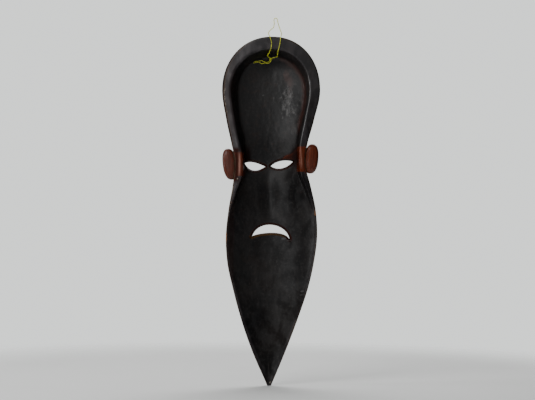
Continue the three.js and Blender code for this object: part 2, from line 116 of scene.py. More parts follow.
# The string: the route of the CAD solid, in millimetres in the row frame.
CORD_DIAMETER = 2.2
CORD_ROUTE = [
    # the lower tail, to the knot
    (66.5, -37.4, -131.4), (57, -42.4, -128.2), (48.5, -45.2, -127.7), (40.5, -47.4, -131.6),
    (31, -48, -129.6), (20.6, -47.4, -130.4), (14.2, -44, -125.8), (12, -37.4, -119.8),
    # into the right hole and through the tunnel
    (9.8, -30.6, -117.2), (4.8, -26.8, -114.8), (-1, -26, -113.9), (-5.2, -27, -112.3),
    (-7, -29.1, -108.7), (-4.4, -32.4, -101.8), (8, -34.9, -95.4), (20.4, -30.2, -100.8),
    (23, -26.2, -107),
    # up over the rim to the nail
    (23.2, -22.7, -109.8), (22.2, -18, -109.2), (18.6, -9.6, -102.6), (15, -1.4, -95.4),
    (12.6, 2.4, -89), (11.8, 1.7, -72), (16.6, 1.7, -54.5), (21.2, 1.7, -45), (17, 1.7, -36.5),
    (7, 1.7, -27.5), (3.9, 1.7, -17), (4.8, 1.7, -4.1),
    (3.3, 1.7, -0.5), (-0.2, 1.7, 1.1), (-3.7, 1.7, -0.5),
    # down the other side of the loop to the right hole again
    (-5.2, 1.7, -4.1), (-8.6, 1.7, -18), (-14.4, 1.7, -34.5), (-18.2, 1.7, -46),
    (-15.6, 1.7, -57), (-14.6, 1.7, -70), (-11, 2.6, -89), (-8.8, -1.2, -95.6),
    (-7.6, -9.8, -102.8), (-6.9, -18.5, -109.6), (-6.9, -23.2, -110.1), (-7, -26.7, -107.3),
    (-4, -29.5, -102.6), (8, -33.3, -98), (20, -31.1, -103.6), (22.9, -28.7, -108.4),
    # out of the left hole, past the knot to the upper tail
    (21.4, -26.7, -112.1), (17.8, -27.2, -114.4), (15.4, -31.2, -116.6), (15, -37, -119.2),
    (17.4, -43, -124.2), (23.2, -46, -127.3), (32.5, -46.2, -126.7), (40.5, -44.3, -122.7),
    (49, -43.2, -124.6), (57.5, -40.2, -125.4), (64.5, -37, -128.2),
]


def smooth_route(points):
    """The centripetal curve through the given points."""
    per_span = 24
    given = np.array(points, float)
    knots = [2 * given[0] - given[1], *given, 2 * given[-1] - given[-2]]
    made = []
    for p0, p1, p2, p3 in zip(knots, knots[1:], knots[2:], knots[3:]):
        step0, step1, step2 = (
            float(np.sum((b - a) ** 2)) ** 0.25
            for a, b in ((p0, p1), (p1, p2), (p2, p3)))
        leaving = (p1 - p0) / step0 - (p2 - p0) / (step0 + step1) + (p2 - p1) / step1
        arriving = (p2 - p1) / step1 - (p3 - p1) / (step1 + step2) + (p3 - p2) / step2
        made += [
            hermite(i / per_span, p1, leaving * step1, p2, arriving * step1)
            for i in range(per_span)]
    made.append(given[-1])
    return np.array(made)


def evenly(points, spacing):
    steps = lengths(np.diff(points, axis=0))
    along = np.concatenate([[0], np.cumsum(steps)])
    at = np.linspace(0, along[-1], round(along[-1] / spacing) + 1)
    return columns(*[np.interp(at, along, points[:, k]) for k in range(3)]), at


TUBE_SIDES = 12
PLIES = 2
PLY_DEPTH = 0.1
UNEVEN = 0.03
END_SHARE = 0.45


def twisted_tube(name, route, diameter, spacing, pitch, taper=4.0):
    """A string of two plies as one tube with a twisted lobed section, tapered at both ends."""
    line, along = evenly(route, spacing)
    angles = np.linspace(0, 2 * math.pi, TUBE_SIDES, endpoint=False)
    rings = []
    for point, spokes, at in zip(line, spokes_along(line, (0.3, 0.5, 0.8), angles), along):
        turn = 2 * math.pi * at / pitch
        end = min(at, along[-1] - at) / taper
        radius = diameter / 2 * min(1.0, END_SHARE + (1 - END_SHARE) * end)
        radius *= 1 - UNEVEN + UNEVEN * math.sin(at * 1.9) * math.sin(at * 0.53 + 1)
        section = radius * (1 - PLY_DEPTH * 0.3 + PLY_DEPTH * np.cos(PLIES * (angles - turn)))
        rings.append(point + section[:, None] * spokes)
    points = np.concatenate([*rings, line[:1], line[-1:]])
    made = mesh_object(name, points * MM, tube_faces(len(rings), TUBE_SIDES))
    made.data.shade_smooth()
    return made, line


route = smooth_route(CORD_ROUTE)
string, string_line = twisted_tube("string", route, CORD_DIAMETER, spacing=0.7, pitch=8.0)

# The knot: a little over two turns of string round both strands.
KNOT_CENTRE = np.array((13.6, -34.6, -118.2))
KNOT_AXIS = np.array((0.05, -0.88, -0.47))
KNOT_RADIUS = 2.7
KNOT_FLATNESS = 0.8
KNOT_PITCH = 1.9
KNOT_DIAMETER = 2.0
KNOT_HALF_TURN = 2.3 * math.pi
across = np.cross(KNOT_AXIS, (1.0, 0, 0))
across /= np.linalg.norm(across)
other = np.cross(KNOT_AXIS, across)
wrap = np.array([
    KNOT_CENTRE + KNOT_AXIS * (a / (2 * math.pi) * KNOT_PITCH)
    + across * math.cos(a) * KNOT_RADIUS * KNOT_FLATNESS + other * math.sin(a) * KNOT_RADIUS
    for a in np.linspace(-KNOT_HALF_TURN, KNOT_HALF_TURN, 60)])
knot, _ = twisted_tube("string_knot", wrap, KNOT_DIAMETER, spacing=0.6, pitch=7.0, taper=2.0)

for piece in (string, knot):
    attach(piece, "root")
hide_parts("hanging_cord")

# The wood: the same outline, rim, hollow and face as the CAD solid, on a fine grid. Left and
# right are those of the picture, so x grows to the left.
# The dome is half an oval: half width and power on the left and on the right, and rise.
DOME_CENTRE_DOWN = 161.0
DOME_OUTLINE = ((149.5, 2.07), (145.0, 2.12), 161.0)
DOME_INNER_EDGE = ((122.7, 2.05), (113.4, 2.05), 122.6)
DOME_FOOT = ((104.0, 2.05), (99.0, 2.05), 103.5)
DOME_RIDGE_RISE = 42.0
# Below the dome: down, then the half width on the left and on the right.
OUTLINE = [
    (161, 149.5, 145), (251, 136, 127), (323, 119.8, 108), (380, 109, 102), (449, 115.2, 119.5),
    (521, 126.8, 135.3), (602, 134, 140), (683, 128.5, 130), (755, 112, 114), (827, 92.5, 91),
    (899, 69, 65.3), (971, 40.3, 37.4), (1025, 15.5, 15.2), (1045.0, 6.78, 6.78),
]
INNER_EDGE = [
    (161, 122.7, 113.4), (251, 110.4, 99.6), (311, 97.8, 87.9), (365, 85.8, 83.4),
    (413, 86.4, 89.4), (461, 101.7, 108), (536, 123.7, 132.8),
]
FOOT = [
    (161, 104, 99), (205, 102, 95.5), (251, 96.5, 87), (311, 81.5, 77), (371, 78.6, 79),
    (413, 81, 84), (461, 96, 102), (536, 118.7, 127.8),
]
# Under the end of the wall the inner edge and the foot lie this far in from the outline, but
# at most this share of the way to the ridge.
WALL_END_DOWN = 536
INNER_STRIP, INNER_STRIP_SHARE = 4, 0.12
FOOT_STRIP, FOOT_STRIP_SHARE = 9, 0.26
TIP_CENTRE_DOWN = 1041.8
TIP_RADIUS = 7.5
TIP_START_ANGLE = math.radians(25.3)
FAN_START_DOWN = 880
FAN_END_DOWN = 1049.3
RIDGE_END_DOWN = 1005
# The foot is the corner between the wall of the hollow and its floor.
# down, hollow at the middle, hollow at the foot, face at the middle, face at the edge, bulge
DEPTHS = [
    (119, 60, 45, 80, 16, 0.5), (251, 60, 44, 84, 17, 0.5), (330, 56, 40, 80, 19, 0.52),
    (385, 52, 36, 73, 20, 0.55), (449, 48, 18, 67, 16, 0.58), (536, 44, 6.5, 64, 10, 0.6),
    (602, 42, 4.5, 62, 9, 0.62), (700, 34, 4, 55, 9, 0.7), (790, 24, 3.5, 44, 8, 0.8),
    (880, 14.5, 3, 34, 8, 0.85), (940, 8.5, 2.5, 26, 7.5, 0.85), (1005, 3, 1.5, 17, 7, 0.85),
]
# The ridge of the face: down, x.
FACE_LINE = [(161, 0), (260, 2), (385, 8.5), (470, 6.5), (560, 2), (700, 0), (1049, 0)]
# down, half width, height
NOSE = [
    (322, 9, 0), (352, 10, 9), (395, 10, 14), (450, 16, 23), (500, 26, 33), (524, 31, 38),
    (536, 30, 30), (545, 27, 4),
]
# Where the lengthwise lines run over the nose, in half widths of it.
NOSE_LINES = [
    0, 0.1, 0.2, 0.3, 0.4, 0.5, 0.6, 0.69, 0.77, 0.84, 0.9, 0.945, 0.975, 1, 1.03, 1.07, 1.13,
    1.22, 1.35,
]
# Each hole has two cubic curves between its corners: x, down of corners and handles.
LEFT_EYE = (
    ((80.3, 379.9), (60.9, 369.9), (35.6, 382.1), (18, 389.3)),
    ((80.3, 379.9), (66.2, 405.2), (44.6, 408), (18, 389.3)),
)
RIGHT_EYE = (
    ((-65.3, 373.6), (-42.7, 366.3), (-14.2, 372.1), (0.8, 387.6)),
    ((-65.3, 373.6), (-48, 393.4), (-21.5, 402.1), (0.8, 387.6)),
)
MOUTH = (
    ((55.2, 601.1), (37, 547.6), (-49.7, 560.4), (-57.5, 609.1)),
    ((55.2, 601.1), (45.6, 592.1), (-44.9, 578.3), (-57.5, 609.1)),
)


def through(stations, column):
    """A smooth curve through stations, flat at its start, for arrays of positions."""
    at, value = np.array(stations, float)[:, (0, column)].T
    slope = np.zeros(len(at))
    slope[1:-1] = (value[2:] - value[:-2]) / (at[2:] - at[:-2])
    slope[-1] = (value[-1] - value[-2]) / (at[-1] - at[-2])

    def read(position):
        p = np.clip(np.asarray(position, float), at[0], at[-1])
        i = np.clip(np.searchsorted(at, p, side="right") - 1, 0, len(at) - 2)
        span = at[i + 1] - at[i]
        t = (p - at[i]) / span
        return hermite(t, value[i], span * slope[i], value[i + 1], span * slope[i + 1])
    return read


def by_side(stations):
    """Reads the second column where the side is 1, the left, and the third where it is -1."""
    on_left, on_right = through(stations, 1), through(stations, 2)
    return lambda down, side: np.where(np.asarray(side) > 0, on_left(down), on_right(down))


outline_half, inner_half, foot_half = map(by_side, (OUTLINE, INNER_EDGE, FOOT))
floor_depth, foot_depth, face_depth, edge_depth, bulge = (
    through(DEPTHS, column) for column in range(1, 6))
face_line = through(FACE_LINE, 1)
nose_half, nose_height = through(NOSE, 1), through(NOSE, 2)


def smoothstep(value, low, high):
    t = np.clip((value - low) / (high - low), 0, 1)
    return t * t * (3 - 2 * t)


def bump(away):
    """1 at 0, falling smoothly to 0 at 1."""
    return np.where(away >= 1, 0, (1 - np.minimum(away, 1) ** 2) ** 2)


def scatter(ix, iy, seed):
    """Two even pseudo-random numbers from 0 to 1 for each whole-number cell."""
    n = (ix.astype(np.int64) * 374761393 + iy.astype(np.int64) * 668265263
         + seed * 982451653) & 0xFFFFFFFF
    n = ((n ^ (n >> 13)) * 1274126177) & 0xFFFFFFFF
    n = n ^ (n >> 16)
    return (n & 0xFFFF) / 65535.0, ((n >> 16) & 0xFFFF) / 65535.0


def scallops(x, down, wide, tall, lean, seed):
    """Overlapping shallow cuts: 1 in the middle of each, towards -1 at the ridges between."""
    u = (x + lean * down) / wide
    v = down / tall
    iu, iv = np.floor(u), np.floor(v)
    best = np.full(np.shape(u), 9.0)
    for du in (-1, 0, 1):
        for dv in (-1, 0, 1):
            a, b = scatter(iu + du, iv + dv, seed)
            away = (u - iu - du - 0.1 - 0.8 * a) ** 2 + (v - iv - dv - 0.1 - 0.8 * b) ** 2
            best = np.minimum(best, away)
    return 1 - 2 * np.clip(best, 0, 1)


def waves(x, down, scale, seed):
    """A slow uneven swelling between about -1 and 1."""
    rng = np.random.default_rng(seed)
    total = np.zeros(np.shape(x))
    for _ in range(7):
        angle, phase = rng.uniform(0, 2 * math.pi, 2)
        length = scale * rng.uniform(0.6, 1.7)
        total += np.sin((x * math.cos(angle) + down * math.sin(angle)) / length + phase)
    return total / 4


GROOVE_TOP, GROOVE_END = 392, 548
GROOVE_HALF_WIDTH = 38
GROOVE_DEPTH = 12.5


def groove(x, down):
    """Extra depth of the hollow behind the nose."""
    along = np.clip((down - GROOVE_TOP) / (GROOVE_END - GROOVE_TOP), 0, 1)
    off = np.hypot((x - face_line(down)) / GROOVE_HALF_WIDTH, 0.3)
    return GROOVE_DEPTH * np.sin(math.pi * along) ** 0.6 * np.maximum(0, 1 - off) ** 1.5


def hollow_marks(x, down):
    """Extra depth of the gouge cuts in the hollow."""
    strong = np.exp(-(((x + 58) / 26) ** 2 + ((down - 200) / 70) ** 2))
    cuts = scallops(x, down, 13, 28, 0.25, 3) * (0.2 + 1.0 * strong)
    cuts += scallops(x, down, 16, 42, -0.15, 8) * 0.2
    return cuts + waves(x, down, 34, 5) * 0.5


def face_relief(x, down):
    """Height of the brow, eye sockets, muzzle and chin ridge on the face."""
    off = np.abs(x - face_line(down))
    brow_down = 352 - 16 * np.sin(math.pi * np.minimum(off / 92, 1))
    brow = 7 * (1 - smoothstep(off, 64, 92)) * bump(np.abs(down - brow_down) / 13)
    socket = 5 * bump(np.hypot((off - 46) / 44, (down - 388) / 28))
    muzzle = 7 * bump(np.hypot(off / 84, (down - 585) / 62))
    along = np.clip((down - 640) / 360, 0, 1)
    chin = 5 * np.maximum(np.sin(math.pi * along), 0) ** 0.7 * bump(off / 34)
    return brow - socket + muzzle + chin


NOSE_OUTSIDE = -6
NOSE_BLEND = 5


def soft_floor(rise):
    """The rise itself where it is well above 0, and near 0 where it is below."""
    return 0.5 * (rise + np.sqrt(rise * rise + NOSE_BLEND))


def nose_relief(x, down):
    """Height of the nose, blended into the face at its sides."""
    u = (x - face_line(down)) / nose_half(down)
    inside = (down > NOSE[0][0]) & (down < NOSE[-1][0])
    raw = np.sign(1 - u * u) * np.abs(1 - u * u) ** 0.62
    rise = np.where(inside, nose_height(down) * raw - 1, NOSE_OUTSIDE)
    return soft_floor(rise) - soft_floor(NOSE_OUTSIDE)


def shield_depth(outline, ridge, share):
    """Depth of the plain face at a share of the way from the ridge to the outline."""
    edge = edge_depth(outline[:, 1])
    rise = face_depth(ridge[:, 1]) - edge
    return edge + rise * np.maximum(1 - share * share, 0) ** bulge(outline[:, 1])


def face_depth_at(points):
    """Depth of the face, without its nose, between the brow and the chin."""
    x, down = points.T
    ridge = columns(face_line(down), down)
    side = np.where(x >= ridge[:, 0], 1, -1)
    outline = columns(side * outline_half(down, side), down)
    share = np.abs(x - ridge[:, 0]) / np.abs(outline[:, 0] - ridge[:, 0])
    return shield_depth(outline, ridge, np.minimum(share, 1)) + face_relief(x, down)


def plain_hollow(down, at_foot, share):
    """Depth of the hollow's floor at a share of the way from its middle to its foot."""
    return at_foot + (floor_depth(down) - at_foot) * (1 - share * share) ** 0.9


def hollow_depth_at(points):
    """Depth of the floor of the hollow, between the brow and the chin."""
    x, down = points.T
    middle = face_line(down)
    side = np.where(x >= middle, 1, -1)
    half = outline_half(down, side)
    strip = np.minimum(FOOT_STRIP, FOOT_STRIP_SHARE * half)
    foot = side * np.where(down < WALL_END_DOWN, foot_half(down, side), half - strip)
    share = np.clip((x - middle) / (foot - middle), 0, 1)
    return plain_hollow(down, foot_depth(down), share) + groove(x, down) + hollow_marks(x, down)


def ridge_under(down):
    """The point of the ridge that each point of the outline is joined to."""
    share = np.clip((down - FAN_START_DOWN) / (FAN_END_DOWN - FAN_START_DOWN), 0, None)
    down = np.minimum(down, FAN_START_DOWN) + share * (RIDGE_END_DOWN - FAN_START_DOWN)
    return columns(face_line(down), down)


def edge_strips(outline, ridge):
    """The inner edge and the foot under the end of the wall."""
    length = lengths(outline - ridge)[:, None]
    inner = outline + (ridge - outline) * np.minimum(INNER_STRIP / length, INNER_STRIP_SHARE)
    foot = outline + (ridge - outline) * np.minimum(FOOT_STRIP / length, FOOT_STRIP_SHARE)
    return inner, foot


SOFT_END_DOWN = 560
SOFT_END_REACH = 45


def softened(values, down):
    """The values, averaged over their neighbours around the end of the wall."""
    near = bump(np.abs(down - SOFT_END_DOWN) / (2.2 * SOFT_END_REACH))
    even = np.arange(down[0], down[-1], 2.0)
    sampled = np.interp(even, down, values)
    kernel = np.hanning(SOFT_END_REACH)
    padded = np.pad(sampled, len(kernel) // 2, mode="edge")
    mean = np.convolve(padded, kernel / kernel.sum(), mode="valid")
    return values + (np.interp(down, even, mean) - values) * near


DOME_ROWS = 84
# from, to, number of rows
BODY_SPANS = [(161, 330, 56), (330, 425, 52), (425, 522, 34), (522, 625, 58), (625, 1045, 112)]
TIP_ROWS = 10


def cross_rows(side):
    """Points on the outline, inner edge, foot and ridge for every row of one side."""
    angle = (math.pi / 2) * (1 - np.arange(DOME_ROWS) / DOME_ROWS)

    def arc(shape):
        half, power = shape[0] if side > 0 else shape[1]
        power = 2 / power
        return columns(
            side * half * np.cos(angle) ** power,
            DOME_CENTRE_DOWN - shape[2] * np.sin(angle) ** power)
    ridge_down = DOME_CENTRE_DOWN - DOME_RIDGE_RISE * np.sin(angle)
    dome = [
        arc(DOME_OUTLINE), arc(DOME_INNER_EDGE), arc(DOME_FOOT),
        columns(face_line(ridge_down), ridge_down)]
    down = np.concatenate([a + (b - a) * np.arange(n) / n for a, b, n in BODY_SPANS])
    outline = columns(side * outline_half(down, side), down)
    ridge = ridge_under(down)
    strip_inner, strip_foot = edge_strips(outline, ridge)
    above = (down < WALL_END_DOWN)[:, None]
    inner = np.where(above, columns(side * inner_half(down, side), down), strip_inner)
    foot = np.where(above, columns(side * foot_half(down, side), down), strip_foot)
    for line in (inner, foot):
        line[:, 0] = outline[:, 0] + softened(line[:, 0] - outline[:, 0], down)
    turn = TIP_START_ANGLE + (math.pi / 2 - TIP_START_ANGLE) * np.linspace(0, 1, TIP_ROWS)
    tip_outline = columns(
        side * TIP_RADIUS * np.cos(turn), TIP_CENTRE_DOWN + TIP_RADIUS * np.sin(turn))
    tip_ridge = ridge_under(tip_outline[:, 1])
    tip_inner, tip_foot = edge_strips(tip_outline, tip_ridge)
    body = [outline, inner, foot, ridge]
    tip = [tip_outline, tip_inner, tip_foot, tip_ridge]
    return [np.concatenate(parts) for parts in zip(dome, body, tip)]


def on_depth(points, depth):
    """Points x, down put at a depth, as x, y and z of the wood."""
    return columns(points[:, 0], -depth, -points[:, 1])


HOLLOW_LINES = 36
WALL_STEPS = 12
WALL_CURVE_END = 0.067
INNER_EDGE_DEPTH = 3
# how far in from the outline the rim starts to round, and how deep the rounding is there
ROUNDING = 7
CROWN = 1.9
NEAR_EDGE_SHARE = 0.84
FACE_LINES = 20
CREASE_LINES = slice(HOLLOW_LINES - 3, HOLLOW_LINES + 4)


def section_lines(side):
    """Every lengthwise line of one side, from the middle of the hollow round to the face."""
    outline, inner, foot, ridge = cross_rows(side)
    at_foot = foot_depth(foot[:, 1])
    rim = lengths(outline - inner)
    inner_depth = np.minimum(INNER_EDGE_DEPTH, 0.45 * at_foot)
    lines = []

    def add(point, depth):
        lines.append(on_depth(point, depth))

    # the floor of the hollow
    for share in np.linspace(0, 1, HOLLOW_LINES):
        point = ridge + (foot - ridge) * share
        fade = 1 - 0.75 * smoothstep(share, 0.9, 1)
        thin = smoothstep(ridge[:, 1], 1010, 900)
        marks = hollow_marks(*point.T) * fade * thin
        add(point, plain_hollow(ridge[:, 1], at_foot, share) + groove(*point.T) + marks)
    # the wall of the hollow
    for t in np.arange(1, WALL_STEPS) / WALL_STEPS:
        point = foot + (inner - foot) * t
        curve = 1 - 0.88 * t - 0.053 * t * t
        marks = waves(point[:, 0] * 2, point[:, 1], 20, 9) * 0.35 * math.sin(math.pi * t)
        depth = inner_depth + (at_foot - inner_depth) * (
            curve - WALL_CURVE_END) / (1 - WALL_CURVE_END)
        add(point, depth + marks * (at_foot > 12))
    # the rim: its soft inner corner, its flat, and its rounding towards the outline
    soft = 5.2 + side * 2.0 * smoothstep(np.abs(inner[:, 0]), 5, 70)
    soft = np.minimum(soft, 0.4 * rim)
    for t in (0, 0.15, 0.35, 0.6, 0.85, 1):
        point = inner + (outline - inner) * (soft * t / rim)[:, None]
        add(point, inner_depth * (1 - t) ** 2)
    outer = np.minimum(ROUNDING, 0.4 * rim)
    crown = CROWN * np.minimum(rim / 30, 1)
    for t in (0.25, 0.5, 0.75, 1):
        from_inner = soft + (rim - outer - soft) * t
        point = inner + (outline - inner) * (from_inner / rim)[:, None]
        uneven = 0.35 * (1 + waves(*point.T, 26, 4)) * np.minimum(rim / 30, 1)
        add(point, np.maximum(uneven, 0) * math.sin(math.pi * t * 0.9) + crown * t ** 1.3)
    corner = np.maximum(4 * outer / ROUNDING, crown + 0.2)
    for t in (0.3, 0.55, 0.78, 0.93, 1):
        point = outline + (inner - outline) * (outer * (1 - t) / rim)[:, None]
        add(point, crown + (corner - crown) * t ** 1.7)
    edge = edge_depth(outline[:, 1])
    for t in (0.2, 0.5, 0.8):
        add(outline, corner + (edge - corner) * t)
    # the face: the lines near the middle follow the sides of the nose
    near = 1 - (1 - NEAR_EDGE_SHARE) * (1 - np.cos(np.linspace(0, math.pi / 2, 9)))
    nose = nose_half(outline[:, 1]) / lengths(outline - ridge)
    nose = np.minimum(nose, 0.3)
    beside = nose * NOSE_LINES[-1]
    shares = [np.full(len(nose), share) for share in near[:-1]]
    shares += [
        NEAR_EDGE_SHARE + (beside - NEAR_EDGE_SHARE) * t
        for t in np.linspace(0, 1, FACE_LINES)[:-1]]
    shares += [nose * line for line in NOSE_LINES[::-1]]
    for share in shares:
        point = ridge + (outline - ridge) * share[:, None]
        depth = shield_depth(outline, ridge, share)
        if share[0] < 1:
            fade = smoothstep(1 - share, 0, 0.1)
            depth = depth + face_relief(*point.T) + nose_relief(*point.T)
            depth = depth + scallops(*point.T, 15, 40, 0.1, 21) * 0.14 * fade
        add(point, depth)
    lines = np.array(lines)
    # softens the crease at the foot of the wall
    for _ in range(2):
        part = lines[CREASE_LINES]
        part[1:-1] = (part[:-2] + 2 * part[1:-1] + part[2:]) / 4
    return lines


def ring_object(rings, closed_ends=True):
    """A body from rings of points in the frame of the wood; closed ends get a middle point."""
    count = len(rings[0])
    points = np.concatenate(rings)
    if closed_ends:
        points = np.concatenate([points, [rings[0].mean(axis=0)], [rings[-1].mean(axis=0)]])
    points = (points + (MIDDLE_LINE_X, 0, -WOOD_TOP_UNDER_NAIL)) * MM
    made = mesh_object("mask_wood", points, tube_faces(len(rings), count, closed_ends))
    clean = bmesh.new()
    clean.from_mesh(made.data)
    bmesh.ops.remove_doubles(clean, verts=clean.verts, dist=1e-6)
    bmesh.ops.dissolve_degenerate(clean, edges=clean.edges, dist=1e-7)
    bmesh.ops.recalc_face_normals(clean, faces=clean.faces)
    clean.to_mesh(made.data)
    clean.free()
    return made


def bezier(points, steps):
    """Points along the cubic curve with these two ends and two handles."""
    a, b, c, d = np.array(points, float)
    return hermite(np.linspace(0, 1, steps + 1)[:, None], a, 3 * (b - a), d, 3 * (d - c))


def hole_edge(shape, steps):
    """The closed run round a hole: along its upper curve and back along its lower one."""
    return np.concatenate([bezier(shape[0], steps), bezier(shape[1], steps)[::-1][1:-1]])


def widened(points, step):
    """Moves every point of a closed run outwards, square to the run."""
    after = np.roll(points, -1, axis=0)
    area = np.sum(points[:, 0] * after[:, 1] - after[:, 0] * points[:, 1])
    ahead = after - points
    ahead /= lengths(ahead)[:, None]
    along = ahead + np.roll(ahead, 1, axis=0)
    along /= lengths(along)[:, None]
    return points + columns(along[:, 1], -along[:, 0]) * np.sign(area) * step


WALL_X = 82
WALL_ROOM = 14


def flared(points, step):
    """Widened, but less where the wall of the hollow is near."""
    room = np.clip((WALL_X - np.abs(points[:, 0])) / WALL_ROOM, 0.1, 1)[:, None]
    return points + (widened(points, step) - points) * room


def midline(edge):
    """The line halfway between the two curves of a hole, there and back."""
    return (edge + np.roll(edge[::-1], 1, axis=0)) / 2



def raised_border(edge, section):
    """A lid or lip: a raised border round a hole, rooted in the wood behind the face."""
    first_step, last_height = section[0][0], section[-1][1]
    runs = [(midline(edge), -BORDER_ROOT), (widened(edge, first_step), -BORDER_ROOT)]
    runs += [(widened(edge, step), height) for step, height in section]
    runs.append((midline(edge), last_height))
    return ring_object(
        [on_depth(run, face_depth_at(run) + height) for run, height in runs], closed_ends=False)


# Each row is how much wider the hole is there, and how far past the hollow or the face.
BACK_OF_HOLE = [(5.0, -3.0), (1.9, -0.12), (1.1, 0.3), (0.45, 0.95), (0.1, 1.9)]
FRONT_OF_HOLE = [(0, -3.0), (0.15, -1.2), (0.6, -0.4), (1.5, 0.1), (3.5, 2.5), (5, 14)]
CUT_BEFORE_BACK = 5
CUT_PAST_FRONT = 16


def hole_cutter(edge, back_wide, front_rise):
    """The room of a hole that tapers towards the face, with rounded edges on both sides."""
    centre_line = midline(edge)
    rings = [on_depth(centre_line, hollow_depth_at(centre_line) - CUT_BEFORE_BACK)]
    for step, depth in BACK_OF_HOLE:
        points = flared(edge, back_wide + step)
        rings.append(on_depth(points, hollow_depth_at(points) + depth))
    points = flared(edge, back_wide * 0.45)
    rings.append(on_depth(points, (hollow_depth_at(points) + face_depth_at(points)) / 2))
    for step, depth in FRONT_OF_HOLE:
        points = widened(edge, step)
        rings.append(on_depth(points, face_depth_at(points) + front_rise + depth))
    rings.append(
        on_depth(centre_line, face_depth_at(centre_line) + front_rise + CUT_PAST_FRONT))
    return ring_object(rings, closed_ends=False)


# side, x on that side, down, half width, half height, lean
EARS = (
    (1, 124.5, 384.2, 21.5, 46.8, -0.12),
    (-1, 120.7, 365.7, 21.4, 44.5, -0.07),
)
EAR_POWER = 2.4
EAR_POINTS = 72
# share of the ear's half sizes, depth; from the middle of the back round to the dished front
EAR_SECTION = [
    (0, 1.2), (0.12, 1.22), (0.25, 1.3), (0.38, 1.45), (0.5, 1.7), (0.62, 2.4), (0.72, 3.4),
    (0.82, 5.0), (0.9, 7.1), (0.96, 10), (0.99, 13), (1, 16), (1, 21), (0.99, 26), (0.96, 30),
    (0.9, 33), (0.82, 35), (0.75, 35.6), (0.69, 34.8), (0.63, 32.6), (0.56, 30.8), (0.48, 29.6),
    (0.35, 28.7), (0.18, 28.2), (0, 28),
]


def ear_object(side, x, down, half_width, half_height, lean):
    angle = np.linspace(0, 2 * math.pi, EAR_POINTS, endpoint=False)
    wide = np.sign(np.cos(angle)) * np.abs(np.cos(angle)) ** (2 / EAR_POWER)
    tall = np.sign(np.sin(angle)) * np.abs(np.sin(angle)) ** (2 / EAR_POWER)
    rings = []
    for share, depth in EAR_SECTION[1:-1]:
        drop = half_height * tall * share
        out = x + lean * drop + half_width * wide * share
        rings.append(on_depth(
            columns(side * out, down + drop), np.full(EAR_POINTS, float(depth))))
    return ring_object(rings)


TUNNEL_RADIUS = 4
TUNNEL_ROUTE = [
    (-16, -22.5, -59), (-16, -27.9, -54.3), (-10, -32.5, -46.5), (-1, -34.1, -42.9),
    (8, -32.2, -46.3), (14, -27.4, -54), (14, -22, -58.7),
]


def tunnel_object():
    """The curved tunnel that the string runs through, in the frame of the wood."""
    line, _ = evenly(smooth_route(TUNNEL_ROUTE), 2.0)
    angles = np.linspace(0, 2 * math.pi, 20, endpoint=False)
    return ring_object([
        point + TUNNEL_RADIUS * spokes
        for point, spokes in zip(line, spokes_along(line, (0, 0, 1.0), angles))])


def combine(piece, how):
    """Joins a piece to the mask or cuts it out, and removes the piece."""
    modifier = mask.modifiers.new("combine", "BOOLEAN")
    modifier.operation = how
    modifier.solver = "MANIFOLD"
    modifier.object = piece
    depsgraph = bpy.context.evaluated_depsgraph_get()
    data = bpy.data.meshes.new_from_object(mask.evaluated_get(depsgraph))
    mask.modifiers.clear()
    old = mask.data
    mask.data = data
    bpy.data.meshes.remove(old)
    bpy.data.objects.remove(piece)


# Lid and lip borders: distance out from the hole, height above the face.
LID = [(10.5, -1.2), (9.3, 0.8), (8, 2.6), (6.6, 4.0), (5.0, 4.9), (3.2, 5.3), (1.2, 5.2), (-1, 5)]
LIP = [(13.5, -1.2), (12, 1.6), (10.4, 4.1), (8.6, 6.0), (6.4, 7.3), (4, 7.8), (1.5, 7.5), (-1, 7)]
BORDER_ROOT = 9
left_eye = hole_edge(LEFT_EYE, 36)
right_eye = hole_edge(RIGHT_EYE, 36)
mouth = hole_edge(MOUTH, 48)

both_sides = np.concatenate([section_lines(1), section_lines(-1)[:, -2:0:-1]], axis=1)
mask = ring_object(list(both_sides), closed_ends=False)
for ear in EARS:
    combine(ear_object(*ear), "UNION")
# edge of the hole, its border, how much wider it is at the back, height of its border
HOLES = [(left_eye, LID, 4.3, 5.0), (right_eye, LID, 4.3, 5.0), (mouth, LIP, 3.6, 7.2)]
for edge, section, _, _ in HOLES:
    combine(raised_border(edge, section), "UNION")
for edge, _, wide, rise in HOLES:
    combine(hole_cutter(edge, wide, rise), "DIFFERENCE")
combine(tunnel_object(), "DIFFERENCE")
mask.name = "carved_mask"
mask.data.shade_smooth()
mask.data.set_sharp_from_angle(angle=math.radians(42))
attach(mask, "root")
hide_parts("mask")

# Facts about each point of the wood that the material reads. Places are x and down.
count = len(mask.data.vertices)


def vertex_values(name):
    values = np.empty(count * 3, np.float32)
    mask.data.vertices.foreach_get(name, values)
    return values.reshape(-1, 3)


coordinates = vertex_values("co").astype(float) / MM
xs = coordinates[:, 0] - MIDDLE_LINE_X
downs = -coordinates[:, 2] - WOOD_TOP_UNDER_NAIL
flat = columns(xs, downs)
depth = -coordinates[:, 1]
turned_left, turned_back, _ = vertex_values("normal").T
on_back = (turned_back > 0.05) | (depth < 3.5)
on_back_or_edge = on_back | (depth < 12)
back_share = smoothstep(turned_back, -0.05, 0.2)
FAR = -60.0


def set_attribute(name, values):
    made = mask.data.attributes.new(name, "FLOAT", "POINT")
    made.data.foreach_set("value", np.asarray(values, np.float32))


def set_share(name, values, where):
    set_attribute(name, np.clip(values, 0, 1) * where)


def ramp_in(inside, reach):
    """0.5 on a border, 1 at reach inside it and 0 at reach outside."""
    return np.clip(0.5 + 0.5 * inside / reach, 0, 1)


